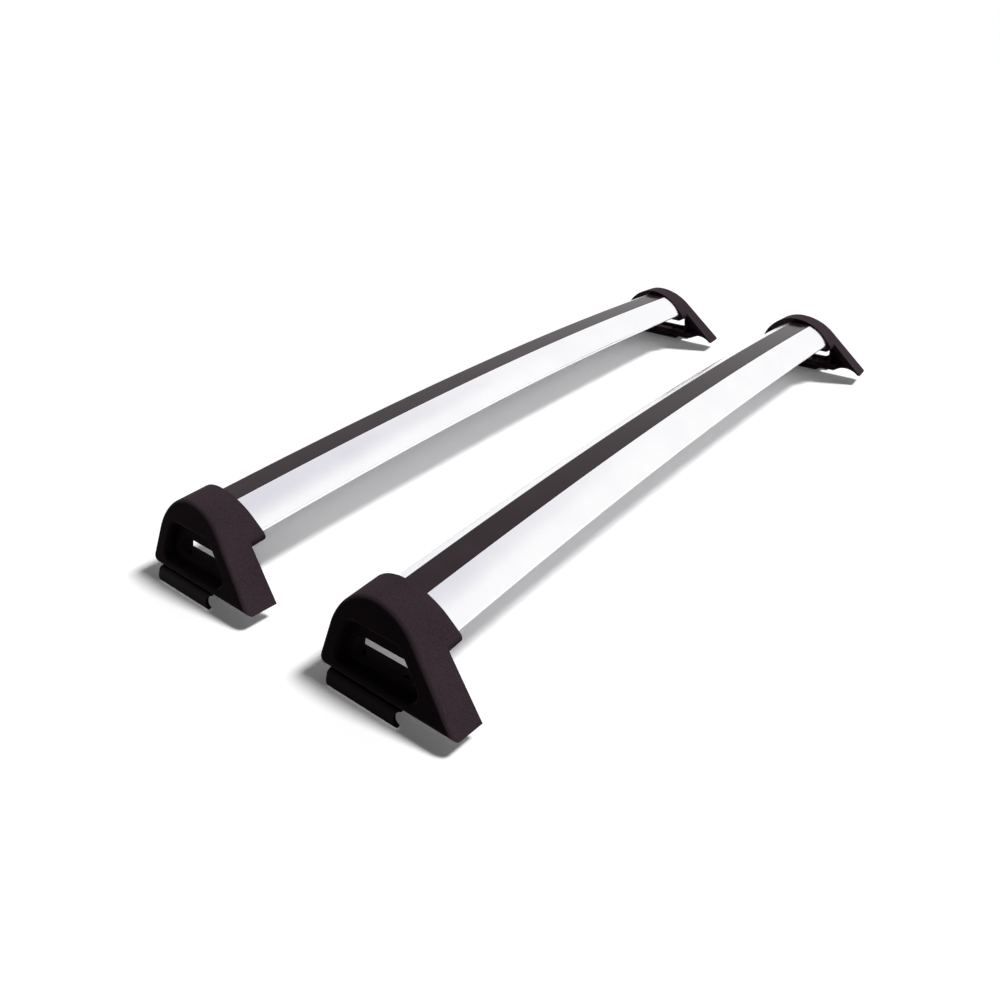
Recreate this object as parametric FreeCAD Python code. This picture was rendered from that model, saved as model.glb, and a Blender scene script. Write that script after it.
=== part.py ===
"""Pair of roof crossbars: two arched aluminium bars, each carried by two moulded feet.

Millimetres. X runs along the bars, -Y is the front of the pair, +Z is up, and the floor is z = 0.
"""
import FreeCAD
import Part
import math
import os

Vector = FreeCAD.Vector

# The pair as a whole
BAR_SPACING = 246.0       # between the two bars' middle planes
HALF_SPAN = 490.0         # middle of the bar to the outer face of a foot, at its base
BASE_HEIGHT = 14.0        # underside of a foot above the floor

# Arched bar, with its section measured down from its top
CROWN_HEIGHT = 96.5       # top of the bar above the floor, at mid span
ARCH_RADIUS = 7900.0
BAR_INSET = 34.0          # end of the bar from the outer face of a foot, at its base
BAR_WIDTH = 88.0
BAR_HEIGHT = 30.0
BAR_WALL = 2.2
NOSE_RADIUS = 3.2
NOSE_DEPTH = 24.3         # middle of the nose below the top
SHOULDER_RADIUS = 58.0
FLAT_BOTTOM = 48.0        # width of the flat underside

# Top channel of the bar and the rubber strip in it
STRIP_WIDTH = 28.0
STRIP_HEIGHT = 3.2
THROAT_WIDTH = 12.0
THROAT_DEPTH = 2.4
SLOT_WIDTH = 20.0
SLOT_DEPTH = 6.0
TONGUE_HEIGHT = 2.6
TONGUE_GAP = 0.8
STRIP_GAP = 0.2

# Outline of a foot, seen along the bar
FOOT_INSET = 40.0         # where the foot takes the slope of the bar, from its outer face
CROWN_COVER = 6.3         # thickness of the hood over the top of the bar
CROWN_OFFSET = 9.4        # crown behind the bar's middle plane
FRONT_REACH = 94.5        # toe of the front leg ahead of that plane
REAR_REACH = 61.5
FRONT_SLOPE = 45.0
REAR_SLOPE = 80.0

# Section of a foot, seen from the front
FOOT_WIDTH = 32.0         # width of the legs at their base
OUTER_LEAN = 18.4
INNER_LEAN = 14.4
HOOD_LENGTH = 59.5        # hood's mouth from the outer face at the base
HOOD_FLOOR = 4.0
HOOD_FRONT_ROUND = 6.0
HOOD_REAR_ROUND = 9.0
HOOD_ROUND_EASE = 1.08    # depth of the hood's rounds against a tangent round
EDGE_ROUND = 5.0          # along the outer face
HEEL_ROUND = 7.0          # lower rear corner
SOCKET_GAP = 0.35

# Hollows on both sides of the foot's web
FLANGE = 10.0             # thickness of the foot's base
WEB_DEPTH = 12.0
WEB = 4.0
OUTER_RIM = 17.0
INNER_RIM = 7.0
POCKET_HEIGHT = 38.0
POCKET_ROUND = 8.0
POCKET_LIP_ROUND = 3.0
HOLLOW_ROUND = 5.0
WINDOW_FRONT = -40.5
WINDOW_REAR = 31.0
WINDOW_FLOOR = 5.0        # above the base flange
WINDOW_HEIGHT = 17.0
TOE_ARCH_MIDDLE = -72.0
TOE_ARCH_RISE = 7.0
TOE_ARCH_RADIUS = 26.0
RIB = 2.4                 # ribs under the hood, one on each side of the window
RIB_SETBACK = 3.0         # rib's edge from the inner face of the legs
RIB_MARGIN = 3.0          # rib from the end of the window

# Hook plate under the foot, its rubber pad and the screws
PLATE = 3.0
PLATE_FRONT = -36.0
PLATE_REAR = 47.0
PLATE_BEND = 5.0
PLATE_SETBACK = 2.0       # plate's inner edge from the inner face of the legs
PLATE_CORNER = 6.0
NOTCH_RADIUS = 5.5
PAD = 3.0
PAD_MARGIN = 3.0
PAD_CORNER = 4.0
RAIL_HOLE_RADIUS = 3.3
RAIL_HOLE_SPACING = 50.0
RAIL_HOLE_EDGE = 7.0      # from the inner face of the legs
SCREW_RADIUS = 2.5
SCREW_SPACING = 50.0
SCREW_EDGE = 11.5         # from the outer face at the base
SCREW_HEAD_RADIUS = 4.8
SCREW_GAP = 0.1
SCREW_END = 0.75          # tip of the screw from the end of its insert
INSERT_RADIUS = 3.8
INSERT_LENGTH = 7.5
PRESS_GAP = 0.05

# Plug in the end of the bar and the screws that hold the bar
PLUG_LENGTH = 40.0
PLUG_LEAD = 2.5
PLUG_GAP = 0.2
BAR_SCREW_PITCH = 12.0
BAR_SCREW_EDGE = 8.0      # from the end of the bar
BAR_SCREW_GRIP = 8.0      # length of thread in the plug
PAN_HEAD_RADIUS = 4.6
PAN_HEAD_HEIGHT = 3.0
PAN_HEAD_ROUND = 1.0
SOCKET_RADIUS = 1.7
SOCKET_DEPTH = 1.6

# Worked out from the sizes above
X_AXIS = Vector(1, 0, 0)
Y_AXIS = Vector(0, 1, 0)
Z_AXIS = Vector(0, 0, 1)
BAR_HALF_LENGTH = HALF_SPAN - BAR_INSET
FOOT_MIDDLE = HALF_SPAN - FOOT_INSET
ARCH_CENTRE = Vector(0, 0, CROWN_HEIGHT - ARCH_RADIUS)
FOOT_SLOPE = math.asin(FOOT_MIDDLE / ARCH_RADIUS)
FOOT_TOP = ARCH_CENTRE.z + ARCH_RADIUS * math.cos(FOOT_SLOPE)
FOOT_FRAME = FreeCAD.Placement(
    Vector(FOOT_MIDDLE, 0, FOOT_TOP), FreeCAD.Rotation(Y_AXIS, math.degrees(FOOT_SLOPE))
)
HOOD_MOUTH = (HALF_SPAN - HOOD_LENGTH - FOOT_MIDDLE) / math.cos(FOOT_SLOPE)
BAR_END = (BAR_HALF_LENGTH - FOOT_MIDDLE) / math.cos(FOOT_SLOPE)
HOOD_UNDERSIDE = -(BAR_HEIGHT + SOCKET_GAP + HOOD_FLOOR)
FLANGE_TOP = BASE_HEIGHT + FLANGE
FAR = 4 * FRONT_REACH     # well past the whole foot
NEAR = 1e-3               # points closer than this are the same point
PLATE_MIDDLE = (PLATE_FRONT + PLATE_REAR) / 2
SLOT_FLOOR = -(STRIP_HEIGHT + THROAT_DEPTH + SLOT_DEPTH)
CHANNEL_HALF = SLOT_WIDTH / 2 + BAR_WALL
PLATE_UNDER = BASE_HEIGHT - PLATE
PLATE_INNER = HALF_SPAN - FOOT_WIDTH + PLATE_SETBACK


def outer_x(height):
    """The leaning outer face of a foot at a height above the floor."""
    return HALF_SPAN - (height - BASE_HEIGHT) * math.tan(math.radians(OUTER_LEAN))


def inner_x(height):
    """The leaning inner face of the legs at a height above the floor."""
    return HALF_SPAN - FOOT_WIDTH - (height - BASE_HEIGHT) * math.tan(math.radians(INNER_LEAN))


def line(start, end):
    return Part.LineSegment(start, end).toShape()


def arc(start, middle, end):
    return Part.Arc(start, middle, end).toShape()


def face_of(edges):
    return Part.Face(Part.Wire(edges))


def polygon(points):
    return Part.Face(Part.makePolygon(points + points[:1]))


def section_box(half_width, low, high):
    """A rectangle across the bar, from one height of its section to another."""
    return polygon([
        Vector(0, -half_width, low),
        Vector(0, half_width, low),
        Vector(0, half_width, high),
        Vector(0, -half_width, high),
    ])


def side_prism(points):
    """A prism right across the foot, from corners given as x and z."""
    face = polygon([Vector(x, -FAR, z) for x, z in points])
    return face.extrude(Vector(0, 2 * FAR, 0))


def along_bar(face, start, end):
    """A face drawn across the bar, pushed along the foot's slope and put in its place."""
    solid = face.copy()
    solid.translate(Vector(start, 0, 0))
    solid = solid.extrude(Vector(end - start, 0, 0))
    solid.Placement = FOOT_FRAME.multiply(solid.Placement)
    return solid


def bar_point(distance, side, height):
    """A point of the foot's own frame in the frame of the pair."""
    return FOOT_FRAME.multVec(Vector(distance, side, height))


def swept_on_arch(face):
    """A face drawn across the bar at mid span, swept along the whole arch."""
    half_turn = math.degrees(math.asin(BAR_HALF_LENGTH / ARCH_RADIUS))
    start = face.copy()
    start.translate(Vector(0, 0, CROWN_HEIGHT))
    start.rotate(ARCH_CENTRE, Y_AXIS, -half_turn)
    return start.revolve(ARCH_CENTRE, Y_AXIS, 2 * half_turn)


def edges_where(shape, test):
    return [edge for edge in shape.Edges if test(edge)]


def runs_along(edge, direction):
    """True for a straight edge that is parallel to a direction."""
    if not isinstance(edge.Curve, Part.Line):
        return False
    return edge.Curve.Direction.cross(direction).Length < NEAR


def bar_outline():
    """The wing-shaped outline of the bar."""
    nose = Vector(0, BAR_WIDTH / 2 - NOSE_RADIUS, -NOSE_DEPTH)
    crest = Vector(0, STRIP_WIDTH / 2 + STRIP_GAP, 0)
    heel = Vector(0, FLAT_BOTTOM / 2, -BAR_HEIGHT)
    # Centre of the shoulder arc, which starts at the crest and runs into the nose
    reach = nose - crest
    near = SHOULDER_RADIUS
    far = SHOULDER_RADIUS - NOSE_RADIUS
    along = (near ** 2 - far ** 2 + reach.Length ** 2) / (2 * reach.Length)
    across = math.sqrt(near ** 2 - along ** 2)
    aim = reach / reach.Length
    centre = crest + aim * along + Vector(0, aim.z, -aim.y) * across
    turn_in = (nose - centre).normalize()
    halfway = ((crest - centre).normalize() + turn_in).normalize()
    # Tangent from the heel of the flat underside to the round of the nose
    back = nose - heel
    lift = math.atan2(back.z, back.y) - math.asin(NOSE_RADIUS / back.Length)
    turn_out = Vector(0, math.sin(lift), -math.cos(lift))
    middle = (turn_in + turn_out).normalize()
    points = [
        crest,
        centre + halfway * SHOULDER_RADIUS,
        nose + turn_in * NOSE_RADIUS,
        nose + middle * NOSE_RADIUS,
        nose + turn_out * NOSE_RADIUS,
        heel,
    ]
    other = [Vector(0, -point.y, point.z) for point in points]
    return face_of([
        arc(points[0], points[1], points[2]),
        arc(points[2], points[3], points[4]),
        line(points[4], points[5]),
        line(points[5], other[5]),
        line(other[5], other[4]),
        arc(other[4], other[3], other[2]),
        arc(other[2], other[1], other[0]),
        line(other[0], points[0]),
    ])


def bar_section():
    """The hollow section: two side chambers, a middle one, and the channel in the top."""
    shelf = -(STRIP_HEIGHT + BAR_WALL)
    lips = -(STRIP_HEIGHT + THROAT_DEPTH)
    outline = bar_outline()
    hollow = bar_outline().makeOffset2D(-BAR_WALL)
    hollow = hollow.cut(section_box(STRIP_WIDTH / 2 + STRIP_GAP + BAR_WALL, shelf, 0))
    hollow = hollow.cut(section_box(CHANNEL_HALF, SLOT_FLOOR - BAR_WALL, 0))
    for side in (-1, 1):
        web = section_box(BAR_WALL / 2, -BAR_HEIGHT, 0)
        web.translate(Vector(0, side * (CHANNEL_HALF - BAR_WALL / 2), 0))
        hollow = hollow.cut(web)
    recess = section_box(STRIP_WIDTH / 2 + STRIP_GAP, -STRIP_HEIGHT, BAR_WALL)
    throat = section_box(THROAT_WIDTH / 2, lips, 0)
    slot = section_box(SLOT_WIDTH / 2, SLOT_FLOOR, lips)
    return outline.cut(hollow).cut(recess).cut(throat).cut(slot).Faces[0]


def bar_screw_places():
    """Where along the foot's slope the two screws enter the bar."""
    return [BAR_END - BAR_SCREW_EDGE - step * BAR_SCREW_PITCH for step in (0, 1)]


def bar_extrusion(screw_holes):
    return cut_all(swept_on_arch(bar_section()), screw_holes).Solids[0]


def top_strip():
    """Rubber strip, flush with the bar's crest, with a tongue that holds under the lips."""
    lips = -(STRIP_HEIGHT + THROAT_DEPTH + STRIP_GAP)
    cap = section_box(STRIP_WIDTH / 2, -STRIP_HEIGHT, 0)
    neck = section_box(THROAT_WIDTH / 2 - STRIP_GAP, lips - TONGUE_HEIGHT, -STRIP_HEIGHT)
    tongue = section_box(SLOT_WIDTH / 2 - TONGUE_GAP, lips - TONGUE_HEIGHT, lips)
    return swept_on_arch(cap.fuse(neck).fuse(tongue).removeSplitter().Faces[0]).Solids[0]


def foot_outline(inset=0.0):
    """The foot seen along the bar: straight front leg, round crown, steep back."""
    front = math.radians(FRONT_SLOPE)
    rear = math.radians(REAR_SLOPE)
    drop = FOOT_TOP - BASE_HEIGHT
    rise = CROWN_COVER + drop
    front_corner = -FRONT_REACH + rise / math.tan(front)
    rear_corner = REAR_REACH - rise / math.tan(rear)
    front_radius = (CROWN_OFFSET - front_corner) / math.tan(front / 2)
    rear_radius = (rear_corner - CROWN_OFFSET) / math.tan(rear / 2)
    front_centre = Vector(0, CROWN_OFFSET, CROWN_COVER - front_radius)
    rear_centre = Vector(0, CROWN_OFFSET, CROWN_COVER - rear_radius)
    front_radius -= inset
    rear_radius -= inset

    def on_front(turn):
        return front_centre + Vector(0, -math.sin(turn), math.cos(turn)) * front_radius

    def on_rear(turn):
        return rear_centre + Vector(0, math.sin(turn), math.cos(turn)) * rear_radius

    run = 2 * drop
    toe = on_front(front) - Vector(0, math.cos(front), math.sin(front)) * run
    heel = on_rear(rear) + Vector(0, math.cos(rear), -math.sin(rear)) * run
    apex = Vector(0, CROWN_OFFSET, CROWN_COVER - inset)
    return face_of([
        line(toe, on_front(front)),
        arc(on_front(front), on_front(front / 2), apex),
        arc(apex, on_rear(rear / 2), on_rear(rear)),
        line(on_rear(rear), heel),
        line(heel, toe),
    ])


def corner_cutter(face, corner, radius):
    """Rounds a corner of a face with an arc that stops just short of tangent to its two sides."""
    sides = []
    for edge in face.Edges:
        if edge.distToShape(Part.Vertex(corner))[0] < NEAR:
            side = edge.tangentAt(edge.Curve.parameter(corner))
            if side.dot(edge.CenterOfMass - corner) < 0:
                side = -side
            sides.append(side)
    half = sides[0].getAngle(sides[1]) / 2
    inward = (sides[0] + sides[1]).normalize()
    low, high = [corner + side * radius / math.tan(half) for side in sides]
    middle = corner + inward * (radius / math.sin(half) - radius) * HOOD_ROUND_EASE
    outside = corner - inward * radius
    return face_of([arc(low, middle, high), line(high, outside), line(outside, low)])


def hood_profile():
    """The hood seen along the bar: the foot's outline above the hood's floor, with rounded corners."""
    face = foot_outline().common(section_box(FAR, HOOD_UNDERSIDE, FAR))
    lowest = sorted(face.Vertexes, key=lambda vertex: vertex.Z)[:2]
    front, rear = sorted((vertex.Point for vertex in lowest), key=lambda point: point.y)
    cutters = [corner_cutter(face, front, HOOD_FRONT_ROUND), corner_cutter(face, rear, HOOD_REAR_ROUND)]
    return cut_all(face, cutters).Faces[0]


def at_heel(edge):
    """True for the lower rear edge of the legs."""
    return edge.BoundBox.ZMax < BASE_HEIGHT + NEAR and edge.BoundBox.YMin > 0


def foot_body():
    """Legs between the two leaning faces, with the hood that takes the end of the bar."""
    top = FOOT_TOP + 2 * CROWN_COVER
    legs = along_bar(foot_outline(), HOOD_MOUTH, FAR).common(side_prism([
        (inner_x(BASE_HEIGHT), BASE_HEIGHT),
        (outer_x(BASE_HEIGHT), BASE_HEIGHT),
        (outer_x(top), top),
        (inner_x(top), top),
    ]))
    legs = legs.makeFillet(HEEL_ROUND, edges_where(legs, at_heel))
    hood = along_bar(hood_profile(), HOOD_MOUTH, FAR)
    hood = hood.common(side_prism([
        (0, BASE_HEIGHT),
        (outer_x(BASE_HEIGHT), BASE_HEIGHT),
        (outer_x(top), top),
        (0, top),
    ]))
    return legs.fuse(hood).removeSplitter()


def on_outer_face(edge):
    """True for an edge that lies in the leaning outer face."""
    ends = [edge.valueAt(edge.FirstParameter), edge.valueAt(edge.LastParameter)]
    return all(abs(point.x - outer_x(point.z)) < NEAR for point in ends)


def across_foot(face):
    """A face drawn across the bar, pushed level through the whole foot."""
    solid = face.copy()
    solid.translate(Vector(0, 0, FOOT_TOP))
    return solid.extrude(Vector(2 * HALF_SPAN, 0, 0))


def level_corners(prism):
    return edges_where(prism, lambda edge: runs_along(edge, X_AXIS))


def outer_pocket():
    """The hollow between the outer face and the web."""
    low = FLANGE_TOP - FOOT_TOP
    face = foot_outline(OUTER_RIM).common(section_box(FAR, low, low + POCKET_HEIGHT))
    prism = across_foot(face)
    corners = [edge for edge in level_corners(prism)
               if min(abs(edge.CenterOfMass.z - FLANGE_TOP - step) for step in (0, POCKET_HEIGHT)) < NEAR]
    prism = prism.makeFillet(POCKET_ROUND, corners)
    return prism.common(side_prism([
        (outer_x(0) - WEB_DEPTH, 0),
        (2 * HALF_SPAN, 0),
        (2 * HALF_SPAN, CROWN_HEIGHT),
        (outer_x(CROWN_HEIGHT) - WEB_DEPTH, CROWN_HEIGHT),
    ]))


def inner_hollow():
    """The hollow under the hood, between the inner face of the legs and the web."""
    face = foot_outline(INNER_RIM).common(section_box(FAR, FLANGE_TOP - FOOT_TOP, 0))
    prism = across_foot(face)
    corners = [edge for edge in level_corners(prism) if abs(edge.CenterOfMass.z - FLANGE_TOP) < NEAR]
    prism = prism.makeFillet(HOLLOW_ROUND, corners)
    near = bar_point(-FAR, 0, HOOD_UNDERSIDE)
    far = bar_point(FAR, 0, HOOD_UNDERSIDE)
    prism = prism.common(side_prism([(near.x, 0), (far.x, 0), (far.x, far.z), (near.x, near.z)]))
    behind = WEB_DEPTH + WEB
    prism = prism.common(side_prism([
        (0, 0),
        (outer_x(0) - behind, 0),
        (outer_x(CROWN_HEIGHT) - behind, CROWN_HEIGHT),
        (0, CROWN_HEIGHT),
    ]))
    return cut_all(prism, ribs())


def ribs():
    """Upright ribs that tie the hood to the base, clear of the window."""
    slab = side_prism([
        (inner_x(0) + RIB_SETBACK, 0),
        (2 * HALF_SPAN, 0),
        (2 * HALF_SPAN, CROWN_HEIGHT),
        (inner_x(CROWN_HEIGHT) + RIB_SETBACK, CROWN_HEIGHT),
    ])
    starts = [WINDOW_FRONT - RIB_MARGIN - RIB, WINDOW_REAR + RIB_MARGIN]
    return [slab.common(Part.makeBox(2 * HALF_SPAN, RIB, CROWN_HEIGHT, Vector(0, start, 0)))
            for start in starts]


def window():
    """Long window with round ends, through the web."""
    low = FLANGE_TOP + WINDOW_FLOOR
    high = low + WINDOW_HEIGHT
    radius = WINDOW_HEIGHT / 2
    middle = low + radius
    front = WINDOW_FRONT + radius
    rear = WINDOW_REAR - radius
    face = face_of([
        line(Vector(0, front, low), Vector(0, rear, low)),
        arc(Vector(0, rear, low), Vector(0, WINDOW_REAR, middle), Vector(0, rear, high)),
        line(Vector(0, rear, high), Vector(0, front, high)),
        arc(Vector(0, front, high), Vector(0, WINDOW_FRONT, middle), Vector(0, front, low)),
    ])
    return face.extrude(Vector(2 * HALF_SPAN, 0, 0))


def toe_arch():
    """A shallow arch under the front leg, which rises towards the inner side."""
    start = Vector(HALF_SPAN, TOE_ARCH_MIDDLE, BASE_HEIGHT - TOE_ARCH_RADIUS)
    axis = Vector(-FOOT_WIDTH, 0, TOE_ARCH_RISE)
    return Part.makeCylinder(TOE_ARCH_RADIUS, 2 * axis.Length, start, axis)


def upright(radius, x, y, low, high):
    return Part.makeCylinder(radius, high - low, Vector(x, y, low))


def rail_holes():
    """Holes for the bolts that hold the foot to the car's rail."""
    x = inner_x(BASE_HEIGHT) + RAIL_HOLE_EDGE
    reach = RAIL_HOLE_SPACING / 2
    return [upright(RAIL_HOLE_RADIUS, x, PLATE_MIDDLE + side * reach, 0, FLANGE_TOP + NEAR)
            for side in (-1, 1)]


def plate_screw_places():
    x = outer_x(BASE_HEIGHT) - SCREW_EDGE
    return [Vector(x, PLATE_MIDDLE + side * SCREW_SPACING / 2, BASE_HEIGHT) for side in (-1, 1)]


def bar_screw_holes(low, high):
    """Holes across the bar's slope, between two heights of its section."""
    up = FOOT_FRAME.Rotation.multVec(Z_AXIS)
    return [Part.makeCylinder(SCREW_RADIUS + SCREW_GAP, high - low, bar_point(place, 0, low), up)
            for place in bar_screw_places()]


def cut_all(shape, tools):
    for tool in tools:
        shape = shape.cut(tool)
    return shape


def on_pocket_mouth(edge):
    """True for an edge of the pocket's mouth: it lies well inside the foot's outline."""
    middle = FOOT_FRAME.inverse().multVec(edge.CenterOfMass)
    middle.x = 0
    inside = foot_outline((EDGE_ROUND + OUTER_RIM) / 2).isInside(middle, NEAR, True)
    return inside and edge.CenterOfMass.z > BASE_HEIGHT + FLANGE / 2


def foot_casing():
    casing = foot_body()
    casing = casing.makeFillet(EDGE_ROUND, edges_where(casing, on_outer_face))
    casing = casing.cut(outer_pocket())
    rim = [edge for edge in edges_where(casing, on_outer_face) if on_pocket_mouth(edge)]
    casing = casing.makeFillet(POCKET_LIP_ROUND, rim)
    casing = casing.cut(inner_hollow()).cut(window()).cut(toe_arch())
    socket = bar_outline().makeOffset2D(SOCKET_GAP)
    casing = casing.cut(along_bar(socket, -FAR, BAR_END + SOCKET_GAP))
    casing = cut_all(casing, rail_holes())
    casing = cut_all(casing, bar_screw_holes(2 * HOOD_UNDERSIDE, -BAR_HEIGHT / 2))
    inserts = [upright(INSERT_RADIUS + PRESS_GAP, place.x, place.y, 0, BASE_HEIGHT + INSERT_LENGTH)
               for place in plate_screw_places()]
    return cut_all(casing, inserts).removeSplitter().Solids[0]


def hook_plate():
    """Bent plate: a flange under the foot and a leaning lip that hooks over the rail."""
    thickness = PLATE / math.cos(math.radians(OUTER_LEAN))
    corners = [
        (PLATE_INNER, BASE_HEIGHT),
        (outer_x(BASE_HEIGHT), BASE_HEIGHT),
        (outer_x(0), 0),
        (outer_x(0) - thickness, 0),
        (outer_x(PLATE_UNDER) - thickness, PLATE_UNDER),
        (PLATE_INNER, PLATE_UNDER),
    ]
    face = polygon([Vector(x, PLATE_FRONT, z) for x, z in corners])
    plate = face.extrude(Vector(0, PLATE_REAR - PLATE_FRONT, 0))

    def bend_edge(corner):
        return edges_where(plate, lambda edge: runs_along(edge, Y_AXIS) and (
            abs(edge.CenterOfMass.x - corner[0]) + abs(edge.CenterOfMass.z - corner[1]) < NEAR
        ))

    plate = plate.makeFillet(PLATE_BEND, bend_edge(corners[1]))
    plate = plate.makeFillet(PLATE_BEND - PLATE, bend_edge(corners[4]))
    tip = edges_where(plate, lambda edge: runs_along(edge, X_AXIS) and (
        edge.CenterOfMass.z < NEAR and edge.CenterOfMass.y > PLATE_MIDDLE
    ))
    plate = plate.makeFillet(PLATE_CORNER, tip)
    # Round relief at the front end of the bend, which leaves a pointed tip on the lip
    middle = PLATE_UNDER - NOTCH_RADIUS / 2
    notch = Part.makeCylinder(NOTCH_RADIUS, 2 * HALF_SPAN, Vector(0, PLATE_FRONT, middle), X_AXIS)
    above = Part.makeBox(2 * HALF_SPAN, NOTCH_RADIUS, BASE_HEIGHT, Vector(0, PLATE_FRONT, middle))
    plate = cut_all(plate, [notch, above] + rail_holes())
    return cut_all(plate, [plate_screw(place, SCREW_GAP) for place in plate_screw_places()]).Solids[0]


def turned(points, place, up):
    """A turned piece, from its half section given as radius and height along its axis."""
    face = polygon([Vector(radius, 0, height) for radius, height in points])
    piece = face.revolve(Vector(0, 0, 0), Z_AXIS, 360)
    piece.Placement = FreeCAD.Placement(place, FreeCAD.Rotation(Z_AXIS, up))
    return piece


def plate_screw(place, grow=0.0):
    """Countersunk screw, flush with the plate's underside; grown, it is the plate's hole."""
    head = SCREW_HEAD_RADIUS + grow
    shank = SCREW_RADIUS + grow
    tip = INSERT_LENGTH - SCREW_END
    return turned([
        (0, -PLATE),
        (head, -PLATE),
        (shank, -PLATE + head - shank),
        (shank, tip),
        (0, tip),
    ], place, Z_AXIS)


def plate_inserts():
    """Brass sleeves for the plate's screws, sunk in the foot's base."""
    bore = SCREW_RADIUS + PRESS_GAP
    return [turned([
        (bore, 0),
        (INSERT_RADIUS, 0),
        (INSERT_RADIUS, INSERT_LENGTH),
        (bore, INSERT_LENGTH),
    ], place, Z_AXIS) for place in plate_screw_places()]


def rail_pad():
    """Rubber pad under the plate's flange, with the holes for the rail's bolts."""
    width = outer_x(BASE_HEIGHT) - PLATE_BEND - PLATE_INNER
    front = PLATE_FRONT + NOTCH_RADIUS + PAD_MARGIN
    length = PLATE_REAR - PAD_MARGIN - front
    pad = Part.makeBox(width, length, PAD, Vector(PLATE_INNER, front, PLATE_UNDER - PAD))
    pad = pad.makeFillet(PAD_CORNER, edges_where(pad, lambda edge: runs_along(edge, Z_AXIS)))
    return cut_all(pad, rail_holes()).Solids[0]


def end_plug():
    """Plug in the bar's middle chamber, with a tapered lead and room for the screws."""
    low = -(BAR_HEIGHT - BAR_WALL) + PLUG_GAP
    high = SLOT_FLOOR - BAR_WALL - PLUG_GAP
    plug = along_bar(section_box(SLOT_WIDTH / 2 - PLUG_GAP, low, high), BAR_END - PLUG_LENGTH, BAR_END)
    far_end = bar_point(BAR_END - PLUG_LENGTH / 2, 0, 0).x
    lead = edges_where(plug, lambda edge: runs_along(edge, Y_AXIS) and edge.CenterOfMass.x < far_end)
    plug = plug.makeChamfer(PLUG_LEAD, lead)
    return cut_all(plug, bar_screw_holes(-BAR_HEIGHT, 0)).Solids[0]


def bar_screws():
    """Pan-head screws with a socket, from under the hood into the plug."""
    up = FOOT_FRAME.Rotation.multVec(Z_AXIS)
    grip = HOOD_FLOOR + SOCKET_GAP + BAR_WALL + BAR_SCREW_GRIP
    return [turned([
        (SOCKET_RADIUS, -PAN_HEAD_HEIGHT),
        (PAN_HEAD_RADIUS - PAN_HEAD_ROUND, -PAN_HEAD_HEIGHT),
        (PAN_HEAD_RADIUS, -PAN_HEAD_HEIGHT + PAN_HEAD_ROUND),
        (PAN_HEAD_RADIUS, 0),
        (SCREW_RADIUS, 0),
        (SCREW_RADIUS, grip),
        (0, grip),
        (0, -PAN_HEAD_HEIGHT + SOCKET_DEPTH),
        (SOCKET_RADIUS, -PAN_HEAD_HEIGHT + SOCKET_DEPTH),
    ], bar_point(place, 0, HOOD_UNDERSIDE), up) for place in bar_screw_places()]


def mirrored(shape):
    return shape.mirror(Vector(0, 0, 0), X_AXIS)


def save(name, shape, offset):
    """Write one piece of one bar, moved to that bar's place."""
    piece = shape.copy()
    piece.translate(Vector(0, offset, 0))
    piece.exportStep(os.path.join("parts", name + ".step"))


def main():
    os.makedirs("parts", exist_ok=True)
    holes = bar_screw_holes(-BAR_HEIGHT - BAR_WALL, -BAR_HEIGHT + 2 * BAR_WALL)
    bar = bar_extrusion(holes + [mirrored(hole) for hole in holes])
    strip = top_strip()
    right_foot = {
        "casing": foot_casing(),
        "hook_plate": hook_plate(),
        "rail_pad": rail_pad(),
        "plate_screws": Part.makeCompound([plate_screw(place) for place in plate_screw_places()]),
        "plate_inserts": Part.makeCompound(plate_inserts()),
        "end_plug": end_plug(),
        "bar_screws": Part.makeCompound(bar_screws()),
    }
    # The feet reach further forward than back, so the pair is moved to stand about its own middle
    box = right_foot["casing"].optimalBoundingBox(False)
    shift = -(box.YMin + box.YMax) / 2
    for bar_name, side in (("front", -1), ("rear", 1)):
        offset = shift + side * BAR_SPACING / 2
        save(bar_name + "_bar_extrusion", bar, offset)
        save(bar_name + "_top_strip", strip, offset)
        for piece_name, piece in right_foot.items():
            save(f"{bar_name}_right_{piece_name}", piece, offset)
            save(f"{bar_name}_left_{piece_name}", mirrored(piece), offset)


main()
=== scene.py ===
# %% [markdown]
# # A pair of roof crossbars
# Two arched aluminium bars lie across a car's roof, each on two black moulded feet. The solids of every
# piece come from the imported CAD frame. This lesson dresses them: pieces that the light shows best are
# made again with finer meshes, the rest get clean copies, and every surface gets a finish that is made of
# shader nodes.

# %% Load the frame
import math

import bmesh
import bpy
from mathutils import Matrix, Vector


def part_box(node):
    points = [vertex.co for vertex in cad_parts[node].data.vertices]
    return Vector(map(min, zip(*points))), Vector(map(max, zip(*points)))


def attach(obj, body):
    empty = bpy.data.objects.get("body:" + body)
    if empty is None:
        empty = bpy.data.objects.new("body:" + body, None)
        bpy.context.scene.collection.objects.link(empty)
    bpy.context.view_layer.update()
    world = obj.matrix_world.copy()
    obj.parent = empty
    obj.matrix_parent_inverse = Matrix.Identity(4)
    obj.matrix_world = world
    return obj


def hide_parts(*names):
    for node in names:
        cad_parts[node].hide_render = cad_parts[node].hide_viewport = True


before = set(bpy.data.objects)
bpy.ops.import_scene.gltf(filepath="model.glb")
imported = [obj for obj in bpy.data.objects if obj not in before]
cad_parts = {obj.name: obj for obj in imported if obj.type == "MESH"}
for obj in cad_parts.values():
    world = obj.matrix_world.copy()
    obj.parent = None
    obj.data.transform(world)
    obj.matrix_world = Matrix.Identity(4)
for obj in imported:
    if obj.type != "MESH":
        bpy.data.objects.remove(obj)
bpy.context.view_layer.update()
MM = 0.001
BARS = ("front", "rear")
ENDS = ("left", "right")
FEET = [f"{bar}_{end}" for bar in BARS for end in ENDS]

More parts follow.
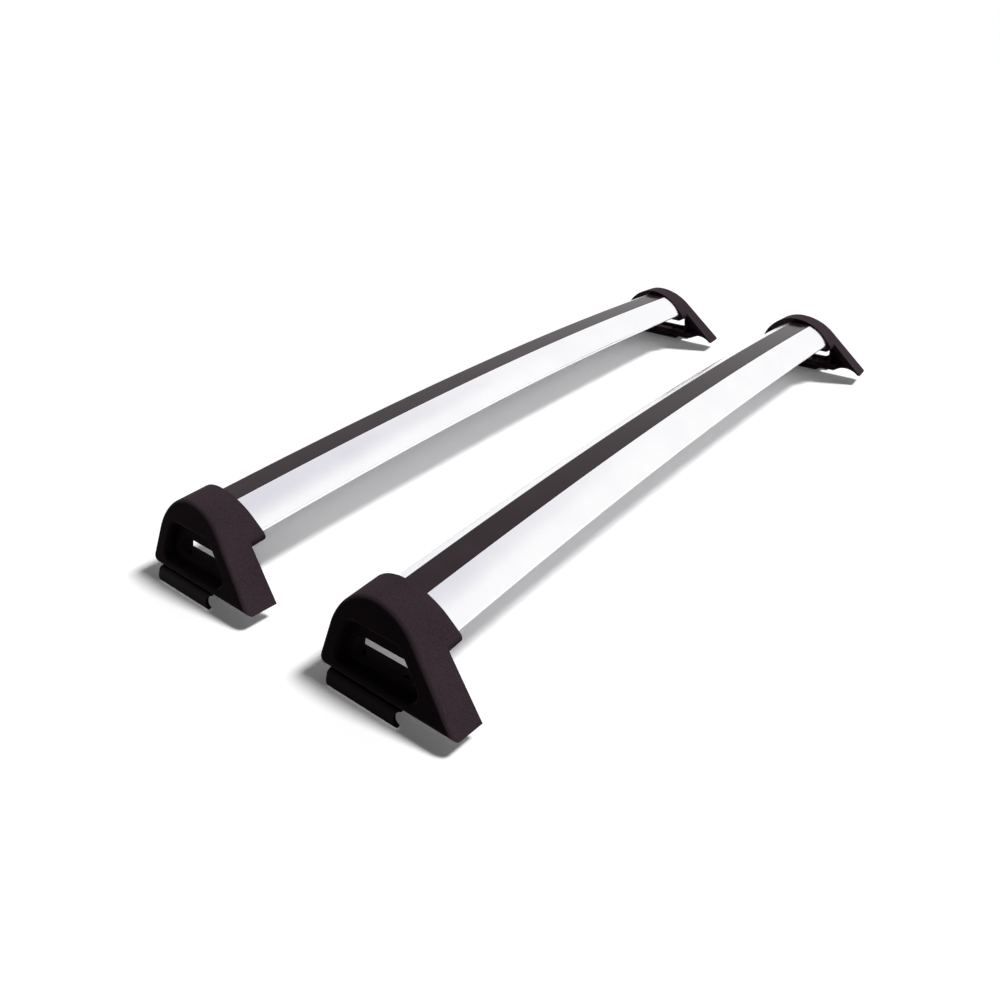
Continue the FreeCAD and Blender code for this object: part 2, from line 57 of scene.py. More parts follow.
# %% [markdown]
# ## Shader maths as Python
# Finishes are easier to read as sums than as wired boxes. One small class wraps a socket of a node tree.
# Its operators add Math nodes, and its `make` method adds any other node, first with its settings, then
# with the values or links of its sockets.


# %% A socket that takes part in expressions
class Tone:
    """A socket of a node tree, or the bare tree where an expression starts."""

    def __init__(self, tree, socket=None):
        self.tree = tree
        self.socket = socket

    def make(self, kind, settings=None, inputs=None, output=0):
        node = self.tree.nodes.new(kind)
        for name, value in (settings or {}).items():
            setattr(node, name, value)
        for name, value in (inputs or {}).items():
            if isinstance(value, Tone):
                self.tree.links.new(value.socket, node.inputs[name])
            else:
                node.inputs[name].default_value = value
        return Tone(self.tree, node.outputs[output])

    def math(self, operation, first, second=0.0):
        return self.make("ShaderNodeMath", {"operation": operation}, {0: first, 1: second})

    def __add__(self, other):
        return self.math("ADD", self, other)

    def __radd__(self, other):
        return self.math("ADD", other, self)

    def __sub__(self, other):
        return self.math("SUBTRACT", self, other)

    def __rsub__(self, other):
        return self.math("SUBTRACT", other, self)

    def __mul__(self, other):
        return self.math("MULTIPLY", self, other)

    def __rmul__(self, other):
        return self.math("MULTIPLY", other, self)

    def mix(self, low, high):
        """A colour between two others, by this value."""
        return self.make("ShaderNodeMix", {"data_type": "RGBA"}, {0: self, 6: low, 7: high}, output=2)

    def between(self, start, end):
        """0 up to start, 1 from end on, and a smooth step between them."""
        settings = {"interpolation_type": "SMOOTHSTEP"}
        return self.make("ShaderNodeMapRange", settings, {0: self, 1: start, 2: end, 3: 0.0, 4: 1.0})


# %% Colours, noise and relief
OBJECT_PLACE = 3


def srgb(red, green, blue):
    """A colour as screens write it, 0 to 255, as the linear colour that shaders use."""
    parts = [value / 255 for value in (red, green, blue)]
    return (*[v / 12.92 if v <= 0.04045 else ((v + 0.055) / 1.055) ** 2.4 for v in parts], 1.0)


def new_finish(name):
    """A material with its main shader, and a Tone to build on."""
    finish = bpy.data.materials.new(name)
    finish.use_nodes = True
    shader = finish.node_tree.nodes["Principled BSDF"]
    return finish, shader, Tone(finish.node_tree)


def join(tone, shader, socket):
    tone.tree.links.new(tone.socket, shader.inputs[socket])


def grains(tone, scale, detail=2.0, stretch=(1, 1, 1)):
    """Noise on the piece's own coordinates, in grains per metre along each axis."""
    place = tone.make("ShaderNodeTexCoord", output=OBJECT_PLACE)
    grid = tone.make("ShaderNodeMapping", None, {"Vector": place, "Scale": stretch})
    return tone.make("ShaderNodeTexNoise", None, {"Vector": grid, "Scale": scale, "Detail": detail})


def relief(tone, height, depth, shader):
    """Bump: a height from 0 to 1, over a depth in metres."""
    bump = tone.make("ShaderNodeBump", None, {"Height": height, "Distance": depth, "Strength": 1.0})
    join(bump, shader, "Normal")


print("Tone, srgb, grains and relief are ready")

# %% [markdown]
# ## Moulded black plastic
# The feet are glass-filled nylon, moulded in a tool that was etched with a fine leather-like grain. It is
# a warm black, and matt, with an uneven gloss. A fine noise gives the grain its height, and a coarse one
# makes the gloss and the colour uneven. It hardly mirrors, so its shine is set very low.

# %% Foot plastic
foot_plastic, shader, tone = new_finish("moulded_black")
etching = grains(tone, 900, detail=3.0)
patches = grains(tone, 22, detail=4.0)
shade = etching.between(0.35, 0.65) * 0.6 + patches.between(0.3, 0.7) * 0.4
join(shade.mix(srgb(46, 37, 42), srgb(62, 51, 57)), shader, "Base Color")
join(0.5 + patches * 0.1 + etching * 0.15, shader, "Roughness")
shader.inputs["Specular IOR Level"].default_value = 0.015
relief(tone, etching, 0.12 * MM, shader)
print(foot_plastic.name)

# %% [markdown]
# ## Satin aluminium
# The bars are extruded, so the die leaves fine lines that run along them. They are then brushed and
# anodised to a soft silver. Noise that is stretched along X draws the lines, for the roughness and for a
# very shallow relief.

# %% Bar aluminium
bar_aluminium, shader, tone = new_finish("satin_aluminium")
shader.inputs["Metallic"].default_value = 1.0
lines = grains(tone, 1.0, detail=3.0, stretch=(9, 1600, 1600))
clouds = grains(tone, 14, detail=3.0)
join(clouds.between(0.35, 0.65).mix(srgb(249, 249, 251), srgb(253, 253, 254)), shader, "Base Color")
join(0.18 + lines * 0.1 + clouds * 0.04, shader, "Roughness")
relief(tone, lines, 0.012 * MM, shader)
print(bar_aluminium.name)

# %% [markdown]
# ## Rubber
# The strip in the top of each bar keeps the load from sliding. It is an extrusion of black rubber, smooth
# along its length, with fine pores and a faint bloom that makes it paler in patches. The pads under the
# feet are moulded from a rougher, greyer rubber, so one function makes both, with other colours and
# another gloss.


# %% Strip and pad rubber
def rubber(name, dark, pale, rough, shine):
    finish, shader, tone = new_finish(name)
    bloom = grains(tone, 35, detail=5.0)
    pores = grains(tone, 1100, detail=2.0)
    shade = pores.between(0.35, 0.65) * 0.5 + bloom.between(0.35, 0.75) * 0.5
    join(shade.mix(dark, pale), shader, "Base Color")
    join(rough + bloom * 0.12 + pores * 0.06, shader, "Roughness")
    shader.inputs["Specular IOR Level"].default_value = shine
    relief(tone, pores, 0.04 * MM, shader)
    return finish


strip_rubber = rubber("strip_black", srgb(33, 20, 26), srgb(44, 29, 36), 0.06, 0.12)
pad_rubber = rubber("pad_black", srgb(34, 33, 34), srgb(45, 44, 45), 0.6, 0.1)
print(strip_rubber.name, pad_rubber.name)

# %% [markdown]
# ## Coated plate
# The hook plates are bent steel with a black coat. Their lower edge slides on the car's rail, where the
# coat is worn to bare metal. The wear follows the height on the plate, broken up by noise.

# %% Plate coat
BARE_HEIGHT = 1.6 * MM
COATED_HEIGHT = 1.9 * MM
SCUFF_DEPTH = 0.6 * MM
plate_coat, shader, tone = new_finish("black_coat")
place = tone.make("ShaderNodeTexCoord", output=OBJECT_PLACE)
height = tone.make("ShaderNodeSeparateXYZ", None, {"Vector": place}, output=2)
orange_peel = grains(tone, 420, detail=2.0)
scuffs = grains(tone, 160, detail=6.0)
coat = (height + scuffs * SCUFF_DEPTH).between(BARE_HEIGHT, COATED_HEIGHT)
join(coat.mix(srgb(206, 204, 206), srgb(23, 17, 17)), shader, "Base Color")
join(1.0 - coat, shader, "Metallic")
join(0.34 + orange_peel * 0.12 + coat * 0.05, shader, "Roughness")
shader.inputs["Specular IOR Level"].default_value = 0.03
relief(tone, orange_peel, 0.05 * MM, shader)
print(plate_coat.name)

# %% [markdown]
# ## Zinc and brass
# Screws are zinc plated, with a slightly cloudy bright surface. The inserts in the feet are turned brass,
# with the rings that the tool leaves round their axis.


# %% Small metals
def plated(name, dull, bright, rough):
    finish, shader, tone = new_finish(name)
    shader.inputs["Metallic"].default_value = 1.0
    clouds = grains(tone, 240, detail=4.0)
    marks = grains(tone, 1.0, detail=2.0, stretch=(300, 300, 4000))
    join(clouds.between(0.3, 0.7).mix(dull, bright), shader, "Base Color")
    join(rough + clouds * 0.12, shader, "Roughness")
    relief(tone, marks, 0.01 * MM, shader)
    return finish


screw_zinc = plated("zinc", srgb(168, 170, 174), srgb(202, 203, 206), 0.24)
insert_brass = plated("brass", srgb(186, 146, 84), srgb(212, 172, 104), 0.28)
print(screw_zinc.name, insert_brass.name)

# %% [markdown]
# ## From mesh code to pieces
# Each piece is one object at the origin, with its place in its mesh. A mesh that is copied from the frame
# is loose triangles, so its points are merged first and its flat faces joined. Soft edges then shade
# smoothly, and edges that turn by more than an angle stay crisp. Weighted normals keep the big flat faces
# flat beside small rounds.


# %% Making a piece
CRISP_ANGLE = math.radians(28)


def add_piece(name, bm, finish, nodes):
    """Turns a bmesh into an object of the part that stands for some CAD nodes."""
    bmesh.ops.recalc_face_normals(bm, faces=bm.faces)
    for face in bm.faces:
        face.smooth = True
    for edge in bm.edges:
        edge.smooth = len(edge.link_faces) == 2 and edge.calc_face_angle(0.0) < CRISP_ANGLE
    mesh = bpy.data.meshes.new(name)
    bm.to_mesh(mesh)
    bm.free()
    mesh.materials.append(finish)
    piece = bpy.data.objects.new(name, mesh)
    bpy.context.scene.collection.objects.link(piece)
    normals = piece.modifiers.new("even_normals", "WEIGHTED_NORMAL")
    normals.keep_sharp = True
    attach(piece, "root")
    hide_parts(*nodes)
    return piece


print("edges stay crisp from", round(math.degrees(CRISP_ANGLE)), "degrees")

# %% Copies of CAD nodes
MERGE_GAP = 0.002 * MM
FLAT_ANGLE = math.radians(0.4)


def merged_copy(node):
    """A CAD node's mesh with its loose triangles merged and its flat faces joined."""
    bm = bmesh.new()
    bm.from_mesh(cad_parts[node].data)
    for layer in list(bm.loops.layers.float_vector):
        bm.loops.layers.float_vector.remove(layer)
    bmesh.ops.remove_doubles(bm, verts=bm.verts, dist=MERGE_GAP)
    bmesh.ops.dissolve_limit(bm, angle_limit=FLAT_ANGLE, verts=bm.verts, edges=bm.edges)
    return bm


def soften(bm, width, steps, keep):
    """Rounds the crisp edges that pass a test of their two ends."""
    edges = [
        edge for edge in bm.edges
        if len(edge.link_faces) == 2
        and edge.calc_face_angle(0.0) > CRISP_ANGLE
        and keep(edge.verts[0].co, edge.verts[1].co)
    ]
    bmesh.ops.bevel(
        bm, geom=edges, offset=width, segments=steps, profile=0.5, affect="EDGES",
        clamp_overlap=True, material=-1)
    return len(edges)


def islands(bm):
    """The separate solids of a mesh, each as its points."""
    left = set(bm.verts)
    while left:
        group = set()
        front = {left.pop()}
        while front:
            group |= front
            front = {edge.other_vert(vert) for vert in front for edge in vert.link_edges} - group
        left -= group
        yield [vert.co for vert in group]


print("merged copies join points closer than", MERGE_GAP / MM, "mm")

# %% [markdown]
# ## The bars
# A bar is one hollow aluminium section, bent to a shallow arch. The section is drawn once, across the
# bar: a few points, arcs that are spun from single points, and the other half by mirroring. It has a
# channel in its top and three chambers, so the fill leaves holes. The face is then spun about the arch's
# centre, far below the car, so the bar is as smooth as the steps are fine. The lips beside the strip are
# rounded a little, because they catch the bright line that the eye reads as metal.

# %% Sizes of the bar
ARCH_RADIUS = 7900 * MM
CROWN_HEIGHT = 96.5 * MM
SECTION_WIDTH = 88 * MM
SECTION_HEIGHT = 30 * MM
FLAT_BOTTOM = 48 * MM
NOSE_RADIUS = 3.2 * MM
NOSE_DEPTH = 24.3 * MM
SHOULDER_RADIUS = 58 * MM
RECESS_HALF = 14.2 * MM
RECESS_DEPTH = 3.2 * MM
THROAT_HALF = 6.0 * MM
THROAT_DEPTH = 2.4 * MM
SLOT_HALF = 10.0 * MM
SLOT_DEPTH = 6.0 * MM
WALL = 2.2 * MM
LIP_ROUND = 0.45 * MM
ARCH_CENTRE = Vector((0, 0, CROWN_HEIGHT - ARCH_RADIUS))
ARCH_STEPS = 80
SHOULDER_STEPS = 26
NOSE_STEPS = 12
LIP_STEPS = 4


def middle_of(bar):
    low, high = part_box(f"{bar}_bar_extrusion")
    return (low.y + high.y) / 2


def half_turn_of(bar):
    _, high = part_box(f"{bar}_bar_extrusion")
    return math.asin(high.x / ARCH_RADIUS)


print("bars at y =", [round(middle_of(bar), 4) for bar in BARS])


# %% Spinning a section along the arch
SEAM_GAP = 0.0001 * MM


def arc_from(bm, vert, centre, angle, steps):
    """Spins one point about a line along X, and gives back the last point of the arc."""
    spun = bmesh.ops.spin(
        bm, geom=[vert], cent=centre, axis=(1, 0, 0), dvec=(0, 0, 0), angle=angle, steps=steps,
        use_merge=False)
    return next(item for item in spun["geom_last"] if isinstance(item, bmesh.types.BMVert))


def turn_about(centre, start, end):
    """Signed angle about X from one point to another, seen from a centre."""
    first = math.atan2(start.z - centre.z, start.y - centre.y)
    second = math.atan2(end.z - centre.z, end.y - centre.y)
    return (second - first + math.pi) % (2 * math.pi) - math.pi


def path(bm, vert, places):
    """Straight edges from a point through places across the bar, and the last of their points."""
    for y, z in places:
        following = bm.verts.new((0, y, z))
        bm.edges.new((vert, following))
        vert = following
    return vert


def mirror_section(bm):
    """Adds the other half of a section that is drawn on one side of the bar's middle."""
    geom = bm.verts[:] + bm.edges[:]
    bmesh.ops.mirror(bm, geom=geom, matrix=Matrix.Identity(4), merge_dist=SEAM_GAP, axis="Y")
    bmesh.ops.remove_doubles(bm, verts=bm.verts, dist=SEAM_GAP)


def sweep_on_arch(bm, bar):
    """Fills the closed lines in bm and sweeps them along a bar."""
    half_turn = half_turn_of(bar)
    bmesh.ops.triangle_fill(bm, use_beauty=True, use_dissolve=True, edges=bm.edges[:])
    bmesh.ops.translate(bm, verts=bm.verts, vec=(0, middle_of(bar), CROWN_HEIGHT))
    turn = Matrix.Rotation(-half_turn, 3, "Y")
    bmesh.ops.rotate(bm, verts=bm.verts, cent=ARCH_CENTRE, matrix=turn)
    geom = bm.verts[:] + bm.edges[:] + bm.faces[:]
    bmesh.ops.spin(
        bm, geom=geom, cent=ARCH_CENTRE, axis=(0, 1, 0), dvec=(0, 0, 0), angle=2 * half_turn,
        steps=ARCH_STEPS, use_merge=False)


# %% The bar's section
NOSE = Vector((0, SECTION_WIDTH / 2 - NOSE_RADIUS, -NOSE_DEPTH))
CREST = Vector((0, RECESS_HALF, 0))
HEEL = Vector((0, FLAT_BOTTOM / 2, -SECTION_HEIGHT))
SLOT_ROOF = -(RECESS_DEPTH + THROAT_DEPTH)
SLOT_FLOOR = SLOT_ROOF - SLOT_DEPTH


def shoulder_centre():
    """Centre of the shoulder's arc, which starts at the crest and runs into the nose."""
    reach = NOSE - CREST
    aim = reach.normalized()
    inner = SHOULDER_RADIUS - NOSE_RADIUS
    along = (SHOULDER_RADIUS ** 2 - inner ** 2 + reach.length ** 2) / (2 * reach.length)
    across = math.sqrt(SHOULDER_RADIUS ** 2 - along ** 2)
    return CREST + aim * along + Vector((0, aim.z, -aim.y)) * across


def wing_side(bm, first, inset):
    """From a point on the shoulder round the nose and back to the heel, all moved in by an inset."""
    centre = shoulder_centre()
    back = NOSE - HEEL
    lift = math.atan2(back.z, back.y) - math.asin(NOSE_RADIUS / back.length)
    shoulder_end = NOSE + (NOSE - centre).normalized() * (NOSE_RADIUS - inset)
    nose_end = NOSE + Vector((0, math.sin(lift), -math.cos(lift))) * (NOSE_RADIUS - inset)
    last = arc_from(bm, first, centre, turn_about(centre, first.co, shoulder_end), SHOULDER_STEPS)
    last = arc_from(bm, last, NOSE, turn_about(NOSE, shoulder_end, nose_end), NOSE_STEPS)
    return path(bm, last, [(HEEL.y - inset * math.tan(lift / 2), HEEL.z + inset)])


def bar_section():
    """The channel, the wing-shaped outside, a side chamber, half the middle one, and their mirror image."""
    bm = bmesh.new()
    start = bm.verts.new((0, 0, SLOT_FLOOR))
    lip = path(bm, start, [
        (SLOT_HALF, SLOT_FLOOR), (SLOT_HALF, SLOT_ROOF), (THROAT_HALF, SLOT_ROOF),
        (THROAT_HALF, -RECESS_DEPTH), (RECESS_HALF, -RECESS_DEPTH), (RECESS_HALF, 0)])
    path(bm, wing_side(bm, lip, 0.0), [(0, -SECTION_HEIGHT)])
    bmesh.ops.bevel(
        bm, geom=[lip], offset=LIP_ROUND, segments=LIP_STEPS, profile=0.5, affect="VERTICES", material=-1)
    centre = shoulder_centre()
    ledge = RECESS_HALF + WALL
    rise = math.sqrt((SHOULDER_RADIUS - WALL) ** 2 - (ledge - centre.y) ** 2)
    first = bm.verts.new((0, ledge, centre.z + rise))
    last = path(bm, wing_side(bm, first, WALL), [
        (SLOT_HALF + WALL, WALL - SECTION_HEIGHT), (SLOT_HALF + WALL, -RECESS_DEPTH - WALL),
        (ledge, -RECESS_DEPTH - WALL)])
    bm.edges.new((last, first))
    roof = bm.verts.new((0, 0, SLOT_FLOOR - WALL))
    path(bm, roof, [
        (SLOT_HALF, SLOT_FLOOR - WALL), (SLOT_HALF, WALL - SECTION_HEIGHT), (0, WALL - SECTION_HEIGHT)])
    mirror_section(bm)
    return bm


print("shoulder's centre", [round(v, 4) for v in shoulder_centre()])

# %% [markdown]
# ## Holes in the bars
# Two screws enter each end of a bar from below. Their places and their slope are read from the CAD
# screws, and round drills with a little room are cut from the swept bar. An exact boolean keeps the mesh
# closed. It is a modifier, which works on objects, so the bar and the drills become helper objects for a
# moment and are then removed.

# %% Places of the screws
HEAD_HEIGHT = 3.0 * MM
HOLE_RADIUS = 2.6 * MM
DRILL_LENGTH = 10 * MM
HOLE_SIDES = 48


def screw_places(foot):
    """For each CAD screw of a bar's end: its axis's turn, its place in the turned frame, its length."""
    low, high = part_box(f"{foot}_bar_screws")
    slope = math.asin((low.x + high.x) / 2 / ARCH_RADIUS)
    axis = Vector((math.sin(slope), 0, math.cos(slope)))
    solids = merged_copy(f"{foot}_bar_screws")
    for points in islands(solids):
        levels = [point.dot(axis) for point in points]
        head = [point for point, level in zip(points, levels) if level < min(levels) + HEAD_HEIGHT]
        sides = [point.x * axis.z - point.z * axis.x for point in head]
        depths = [point.y for point in head]
        place = Vector(((min(sides) + max(sides)) / 2, (min(depths) + max(depths)) / 2, min(levels)))
        yield Matrix.Rotation(slope, 4, "Y"), place, max(levels) - min(levels)
    solids.free()


print("screws at", [[round(v, 4) for v in place] for _, place, _ in screw_places(FEET[0])])


# %% Cutting the holes
def helper_object(name, bm):
    """An object that only serves to cut another one."""
    mesh = bpy.data.meshes.new(name)
    bm.to_mesh(mesh)
    bm.free()
    helper = bpy.data.objects.new(name, mesh)
    bpy.context.scene.collection.objects.link(helper)
    return helper


def drilled(bm, bar):
    """The swept bar with the holes for its four screws."""
    drills = bmesh.new()
    middle = Vector((0, 0, HEAD_HEIGHT + DRILL_LENGTH / 2))
    for end in ENDS:
        for turn, place, _ in screw_places(f"{bar}_{end}"):
            bmesh.ops.create_cone(
                drills, cap_ends=True, segments=HOLE_SIDES, radius1=HOLE_RADIUS, radius2=HOLE_RADIUS,
                depth=DRILL_LENGTH, matrix=turn @ Matrix.Translation(place + middle))
    body = helper_object("undrilled", bm)
    tool = helper_object("drills", drills)
    cut = body.modifiers.new("holes", "BOOLEAN")
    cut.object = tool
    cut.operation = "DIFFERENCE"
    cut.solver = "EXACT"
    bm = bmesh.new()
    bm.from_object(body, bpy.context.evaluated_depsgraph_get())
    for helper in (body, tool):
        mesh = helper.data
        bpy.data.objects.remove(helper)
        bpy.data.meshes.remove(mesh)
    return bm


# %% The two bars
for bar in BARS:
    bm = bar_section()
    sweep_on_arch(bm, bar)
    bmesh.ops.recalc_face_normals(bm, faces=bm.faces)
    bm = drilled(bm, bar)
    piece = add_piece(f"{bar}_bar", bm, bar_aluminium, [f"{bar}_bar_extrusion"])
    print(piece.name, len(piece.data.polygons), "faces")

# %% [markdown]
# ## The rubber strips
# A strip is pressed into the bar's recess, level with the lips, and a tongue below it holds in the slot.
# Its upper edges are rounded, so a thin dark line shows on both sides of it. Seen along the bar it grows
# paler, because rubber mirrors more at a flat angle.

# %% The strip's section
STRIP_HALF = 14.0 * MM
STRIP_ROUND = 0.7 * MM
STRIP_GAP = 0.2 * MM
TONGUE_GAP = 0.8 * MM
TONGUE_HEIGHT = 2.6 * MM
NECK_HALF = THROAT_HALF - STRIP_GAP
TONGUE_HALF = SLOT_HALF - TONGUE_GAP
TONGUE_ROOF = SLOT_ROOF - STRIP_GAP
TONGUE_FLOOR = TONGUE_ROOF - TONGUE_HEIGHT


def strip_section():
    """The tongue, the neck and the cap of the strip, and their mirror image."""
    bm = bmesh.new()
    start = bm.verts.new((0, 0, TONGUE_FLOOR))
    shoulder = path(bm, start, [
        (TONGUE_HALF, TONGUE_FLOOR), (TONGUE_HALF, TONGUE_ROOF), (NECK_HALF, TONGUE_ROOF),
        (NECK_HALF, -RECESS_DEPTH), (STRIP_HALF, -RECESS_DEPTH), (STRIP_HALF, 0)])
    path(bm, shoulder, [(0, 0)])
    bmesh.ops.bevel(
        bm, geom=[shoulder], offset=STRIP_ROUND, segments=LIP_STEPS, profile=0.5, affect="VERTICES",
        material=-1)
    mirror_section(bm)
    return bm


print("tongue's floor", round(-TONGUE_FLOOR / MM, 2), "mm below the crest")

# %% The two strips
for bar in BARS:
    bm = strip_section()
    sweep_on_arch(bm, bar)
    piece = add_piece(f"{bar}_strip", bm, strip_rubber, [f"{bar}_top_strip"])
    print(piece.name, len(piece.data.polygons), "faces")

# %% [markdown]
# ## The feet
# The foot is the hardest moulding of the part: a hood for the bar, two legs, a thin web with a window and
# a base flange. The CAD solid already holds these forms, so a merged copy of it is shaded smoothly. The
# rim of the hood's mouth and the inner edges of the legs get a small round, because a mould leaves none
# sharp and the light catches it.

# %% The four feet
HOOD_MOUTH = 431.2 * MM
LEG_INSIDE = 458 * MM
LEG_LEAN = math.tan(math.radians(14.4))
FOOT_BASE = 14 * MM
IN_PLANE = 0.05 * MM
RIM_ROUND = 1.1 * MM
RIM_STEPS = 3
LEG_ROUND = 0.7 * MM
LEG_STEPS = 2


def at_mouth(first, second):
    """Both ends lie in the mouth of the hood, which faces the middle of the bar."""
    return max(abs(first.x), abs(second.x)) < HOOD_MOUTH


def on_leg_inside(first, second):
    """Both ends lie in the leaning inner face of the legs."""
    gaps = [abs(abs(end.x) - LEG_INSIDE + (end.z - FOOT_BASE) * LEG_LEAN) for end in (first, second)]
    return max(gaps) < IN_PLANE


for foot in FEET:
    bm = merged_copy(f"{foot}_casing")
    rims = soften(bm, RIM_ROUND, RIM_STEPS, at_mouth)
    legs = soften(bm, LEG_ROUND, LEG_STEPS, on_leg_inside)
    piece = add_piece(f"{foot}_foot", bm, foot_plastic, [f"{foot}_casing"])
    print(piece.name, len(piece.data.polygons), "faces,", rims, "rim and", legs, "leg edges rounded")

# %% [markdown]
# ## Plates and pads
# Below each foot sit a bent hook plate and a rubber pad. Copies of their solids get slightly broken
# edges, as cut steel and moulded rubber have.

# %% Plates and pads
PLATE_BREAK = 0.3 * MM
PAD_ROUND = 0.5 * MM
EDGE_STEPS = 2


def anywhere(first, second):
    """Every crisp edge passes."""
    return True


for foot in FEET:
    bm = merged_copy(f"{foot}_hook_plate")
    broken = soften(bm, PLATE_BREAK, EDGE_STEPS, anywhere)
    add_piece(f"{foot}_plate", bm, plate_coat, [f"{foot}_hook_plate"])
    bm = merged_copy(f"{foot}_rail_pad")
    rounded = soften(bm, PAD_ROUND, EDGE_STEPS, anywhere)
    add_piece(f"{foot}_pad", bm, pad_rubber, [f"{foot}_rail_pad"])
    print(foot, broken, "plate edges broken,", rounded, "pad edges rounded")

# %% [markdown]
# ## Screws with a hexagon socket
# Two pan-head screws hold each end of a bar from below. A screw grows out of the floor of its socket, a
# hexagon with divided sides: ring by ring, its edge is extruded to the face of the head, the rounded rim
# and the shank, which goes up into the bar.

# %% Pan-head screws
HEAD_RADIUS = 4.6 * MM
HEAD_ROUND = 1.0 * MM
SOCKET_REACH = 1.9 * MM
SOCKET_DEPTH = 1.6 * MM
SHANK_RADIUS = 2.5 * MM
SOCKET_SIDES = 6
SOCKET_CUTS = 7
HEAD_STEPS = 4


def lifted_ring(bm, edges, radius, height):
    """Extrudes a ring of edges and sets the new points at a height and, if it is given, at a radius."""
    made = bmesh.ops.extrude_edge_only(bm, edges=edges)["geom"]
    verts = {item for item in made if isinstance(item, bmesh.types.BMVert)}
    for vert in verts:
        way = Vector((vert.co.x, vert.co.y))
        vert.co.xy = way if radius is None else way.normalized() * radius
        vert.co.z = height
    return [edge for edge in bm.edges if set(edge.verts) <= verts]


def pan_head_screw(length):
    """A screw along Z with its head's face at 0, which looks down."""
    bm = bmesh.new()
    place = Matrix.Translation((0, 0, SOCKET_DEPTH))
    bmesh.ops.create_circle(bm, segments=SOCKET_SIDES, radius=SOCKET_REACH, matrix=place)
    bmesh.ops.subdivide_edges(bm, edges=bm.edges[:], cuts=SOCKET_CUTS)
    ring = bm.edges[:]
    bmesh.ops.contextual_create(bm, geom=ring)
    rings = [(None, 0.0)]
    for step in range(HEAD_STEPS + 1):
        turn = math.radians(90 * step / HEAD_STEPS)
        inset = HEAD_ROUND * (1 - math.sin(turn))
        rings.append((HEAD_RADIUS - inset, HEAD_ROUND * (1 - math.cos(turn))))
    rings += [(HEAD_RADIUS, HEAD_HEIGHT), (SHANK_RADIUS, HEAD_HEIGHT), (SHANK_RADIUS, length)]
    for radius, height in rings:
        ring = lifted_ring(bm, ring, radius, height)
    bmesh.ops.contextual_create(bm, geom=ring)
    return bm


def add_into(bm, other):
    """Adds a second bmesh to a first one."""
    mesh = bpy.data.meshes.new("part")
    other.to_mesh(mesh)
    other.free()
    bm.from_mesh(mesh)
    bpy.data.meshes.remove(mesh)


print("a socket has", SOCKET_SIDES * (SOCKET_CUTS + 1), "points")

# %% Two screws for each end of a bar
for foot in FEET:
    bm = bmesh.new()
    for turn, place, length in screw_places(foot):
        screw = pan_head_screw(length)
        bmesh.ops.transform(screw, verts=screw.verts, matrix=turn @ Matrix.Translation(place))
        add_into(bm, screw)
    piece = add_piece(f"{foot}_bar_screw_pair", bm, screw_zinc, [f"{foot}_bar_screws"])
    print(piece.name, len(piece.data.polygons), "faces")

# %% [markdown]
# ## Fixings that stay as they are
# The countersunk screws, the brass inserts and the plugs in the bars' ends are hidden in and under the
# feet. Their CAD solids are good enough, so they only get finishes in their material slots.

# %% Finishes of the hidden fixings
FIXINGS = {"plate_screws": screw_zinc, "plate_inserts": insert_brass, "end_plug": foot_plastic}
for foot in FEET:
    for node, finish in FIXINGS.items():
        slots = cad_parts[f"{foot}_{node}"].data.materials
        slots.clear()
        slots.append(finish)
print(len(FEET) * len(FIXINGS), "fixings finished")

# %% [markdown]
# ## Stage, light and camera
# The pair stands on a plain white floor. One soft light, as wide as a hazy sun, comes from the front, the
# right and above, so tops and fronts are lit and the ends that face the camera stay dark. A far light has
# no fall-off, so the floor is evenly white. What the camera and the metal see of the floor and the sky is
# white too, but the light that the sky gives to dull surfaces is a different, dimmer value, or black
# plastic would turn grey.

# %% Floor
FLOOR_HALF = 14.0
WHITE = (1, 1, 1, 1)
BLACK = (0, 0, 0, 1)
FLOOR_BOUNCE = (0.08, 0.08, 0.08, 1)
FLOOR_GLOW = (0.09, 0.09, 0.09, 1)
bm = bmesh.new()
bmesh.ops.create_grid(bm, x_segments=1, y_segments=1, size=FLOOR_HALF)
mesh = bpy.data.meshes.new("floor")
bm.to_mesh(mesh)
bm.free()
floor = bpy.data.objects.new("floor", mesh)
bpy.context.scene.collection.objects.link(floor)


def shown(tone):
    """1 for rays that show the background: to the camera, off metal or through glass."""
    kinds = tone.make("ShaderNodeLightPath").socket.node.outputs
    names = ("Is Camera Ray", "Is Glossy Ray", "Is Transmission Ray")
    seen, mirrored, through = [Tone(tone.tree, kinds[name]) for name in names]
    return seen + mirrored + through


floor_paint, shader, tone = new_finish("floor_paint")
shader.inputs["Roughness"].default_value = 1.0
shader.inputs["Specular IOR Level"].default_value = 0.0
join(shown(tone).mix(FLOOR_BOUNCE, WHITE), shader, "Base Color")
join(shown(tone).mix(BLACK, FLOOR_GLOW), shader, "Emission Color")
shader.inputs["Emission Strength"].default_value = 1.0
mesh.materials.append(floor_paint)
print("floor", len(mesh.polygons), "face")

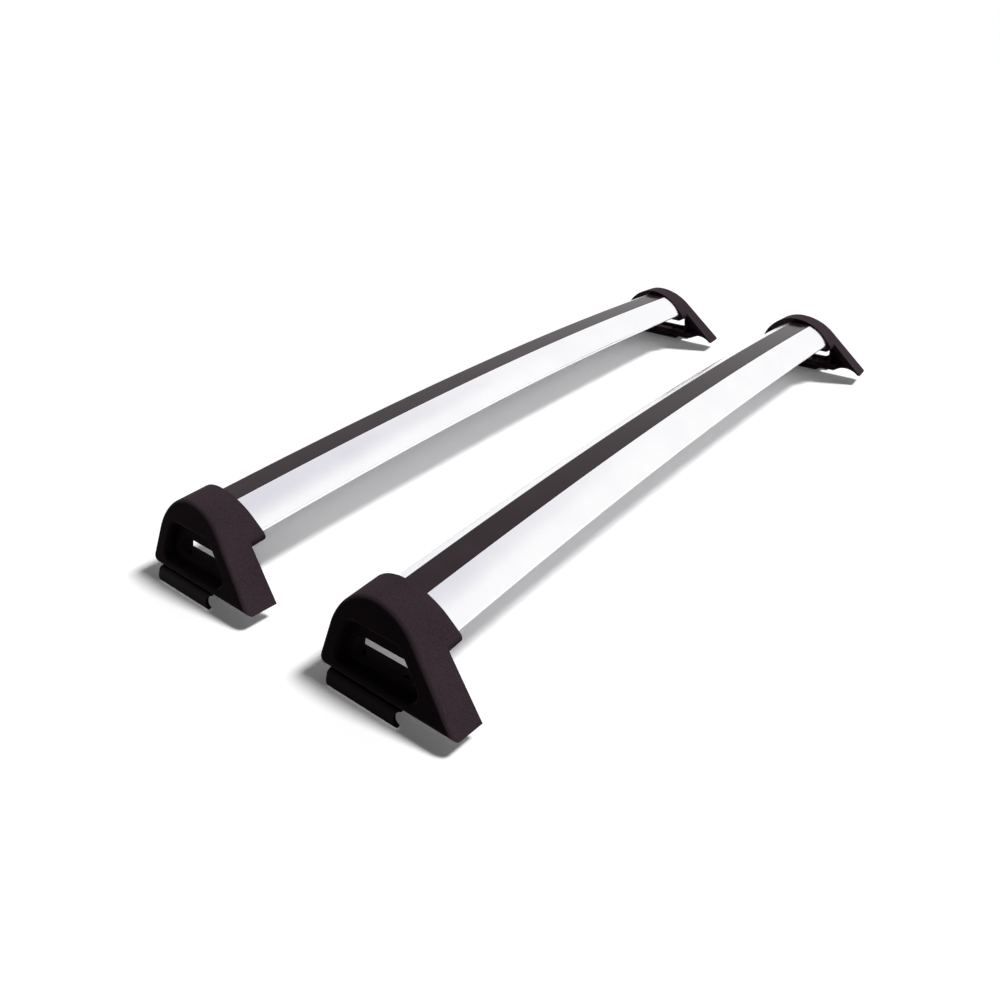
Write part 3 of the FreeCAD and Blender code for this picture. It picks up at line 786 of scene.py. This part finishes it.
# %% World
BRIGHT_WAY = (0.95, 0.0, -0.31)
DARK_WALL = (0.008, 0.008, 0.008, 1)
BRIGHT_WALL = (0.42, 0.41, 0.43, 1)
ZENITH = (0.72, 0.71, 0.77, 1)
WALL_FADE = (0.05, 0.45)
ZENITH_FADE = (0.6, 0.92)
world = bpy.data.worlds.new("studio")
bpy.context.scene.world = world
world.use_nodes = True
sky = world.node_tree.nodes["Background"]
tone = Tone(world.node_tree)
way = tone.make("ShaderNodeTexCoord", output=0)
dot = {"operation": "DOT_PRODUCT"}
lit_side = tone.make("ShaderNodeVectorMath", dot, {0: way, 1: BRIGHT_WAY}, output=1)
walls = lit_side.between(*WALL_FADE).mix(DARK_WALL, BRIGHT_WALL)
height = tone.make("ShaderNodeSeparateXYZ", None, {"Vector": way}, output=2)
backdrop = height.between(*ZENITH_FADE).mix(WHITE, ZENITH)
join(shown(tone).mix(walls, backdrop), sky, "Color")
print("world", world.name)

# %% Key light
KEY_WAY = Vector((-0.38, 0.38, -0.84))
KEY_STRENGTH = 3.3
KEY_WIDTH = math.radians(12)
lamp = bpy.data.lights.new("key", "SUN")
lamp.energy = KEY_STRENGTH
lamp.angle = KEY_WIDTH
key = bpy.data.objects.new("key", lamp)
key.rotation_euler = KEY_WAY.to_track_quat("-Z", "Y").to_euler()
key.visible_glossy = False
bpy.context.scene.collection.objects.link(key)
print("key light", KEY_STRENGTH)

# %% Camera
CAMERA_PLACE = (-0.8145, -0.4948, 0.4795)
CAMERA_HEADING = 37.95
CAMERA_DIP = 30.0
FOCAL_PIXELS = 823.0
FRAME_PIXELS = 1000
SENSOR_MM = 36.0
lens = bpy.data.cameras.new("camera")
lens.sensor_width = SENSOR_MM
lens.lens = SENSOR_MM * FOCAL_PIXELS / FRAME_PIXELS
camera = bpy.data.objects.new("camera", lens)
camera.location = CAMERA_PLACE
camera.rotation_euler = (math.radians(90 - CAMERA_DIP), 0, math.radians(CAMERA_HEADING - 90))
bpy.context.scene.collection.objects.link(camera)
bpy.context.scene.camera = camera
bpy.context.scene.view_settings.view_transform = "Standard"
print("camera lens", round(lens.lens, 2), "mm")
